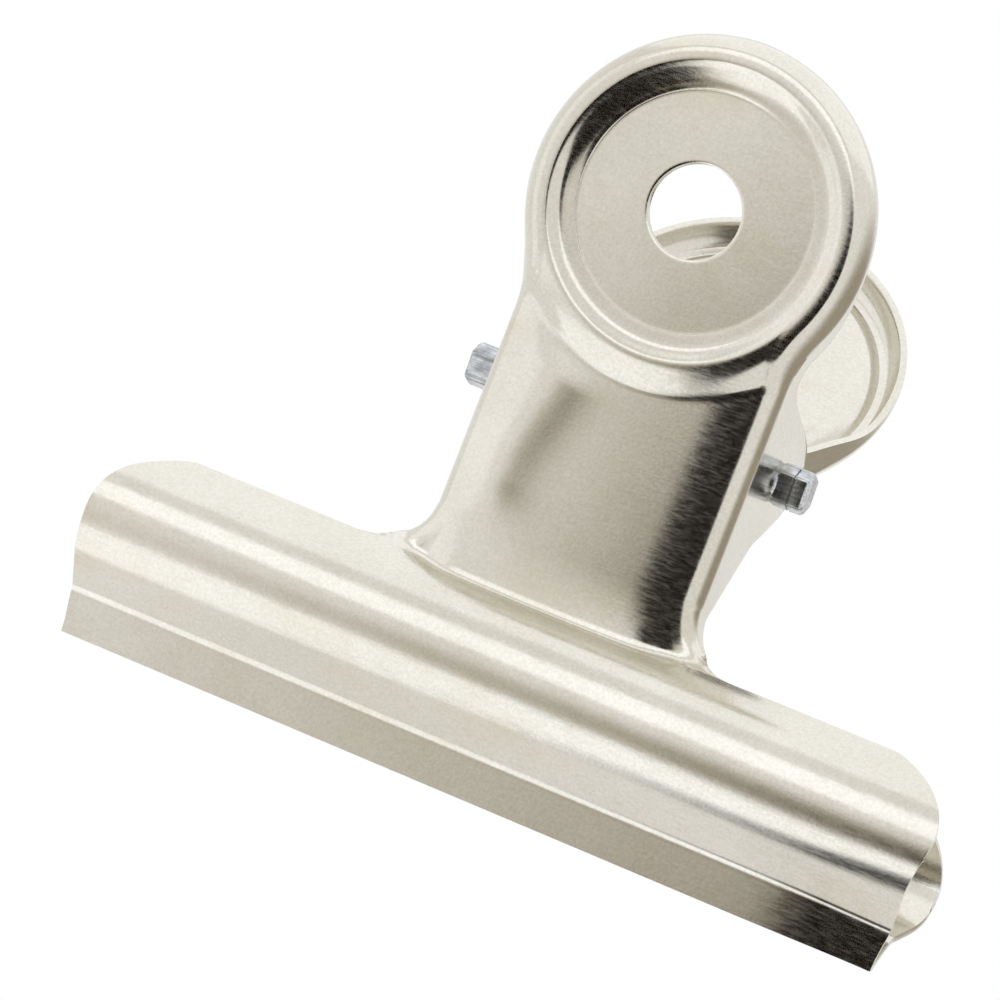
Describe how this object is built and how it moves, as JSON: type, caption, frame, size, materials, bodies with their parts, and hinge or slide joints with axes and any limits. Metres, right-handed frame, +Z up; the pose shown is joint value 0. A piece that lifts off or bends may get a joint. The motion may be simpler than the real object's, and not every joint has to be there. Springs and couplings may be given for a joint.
{
  "type": "bulldog clip",
  "caption": "Sprung paper clip of pressed plated steel, with long rolled jaws, flanged stems and round dished handles with hanging holes, turning on a pin.",
  "frame": {"origin": "middle of the gripping line, at the lowest edge of the shut jaws", "axes": "+X along the jaws, +Z up from the gripping edge to the handles, -Y out of the front plate"},
  "size_m": [0.076, 0.0426, 0.0647],
  "materials": {
    "front_plating": "satin nickel plating on pressed mild steel, warm pale grey",
    "back_plating": "satin nickel plating on pressed mild steel, warm pale grey",
    "pin_steel": "plain bright-drawn steel, cropped and pinched at both ends",
    "spring_steel": "drawn spring wire, slightly dull"
  },
  "bodies": {
    "front": {"front_plate": "front_plating", "hinge_pin": "pin_steel", "torsion_spring": "spring_steel"},
    "back": {"back_plate": "back_plating"}
  },
  "joints": [
    {"name": "jaw_hinge", "type": "hinge", "parent": "front", "child": "back", "pos_m": [0, 0, 0.0358], "axis": [1, 0, 0], "range_deg": [0, 60], "stiffness_Nm_per_rad": 0.05, "springref_deg": -57.3, "deforming": ["torsion_spring"]}
  ]
}
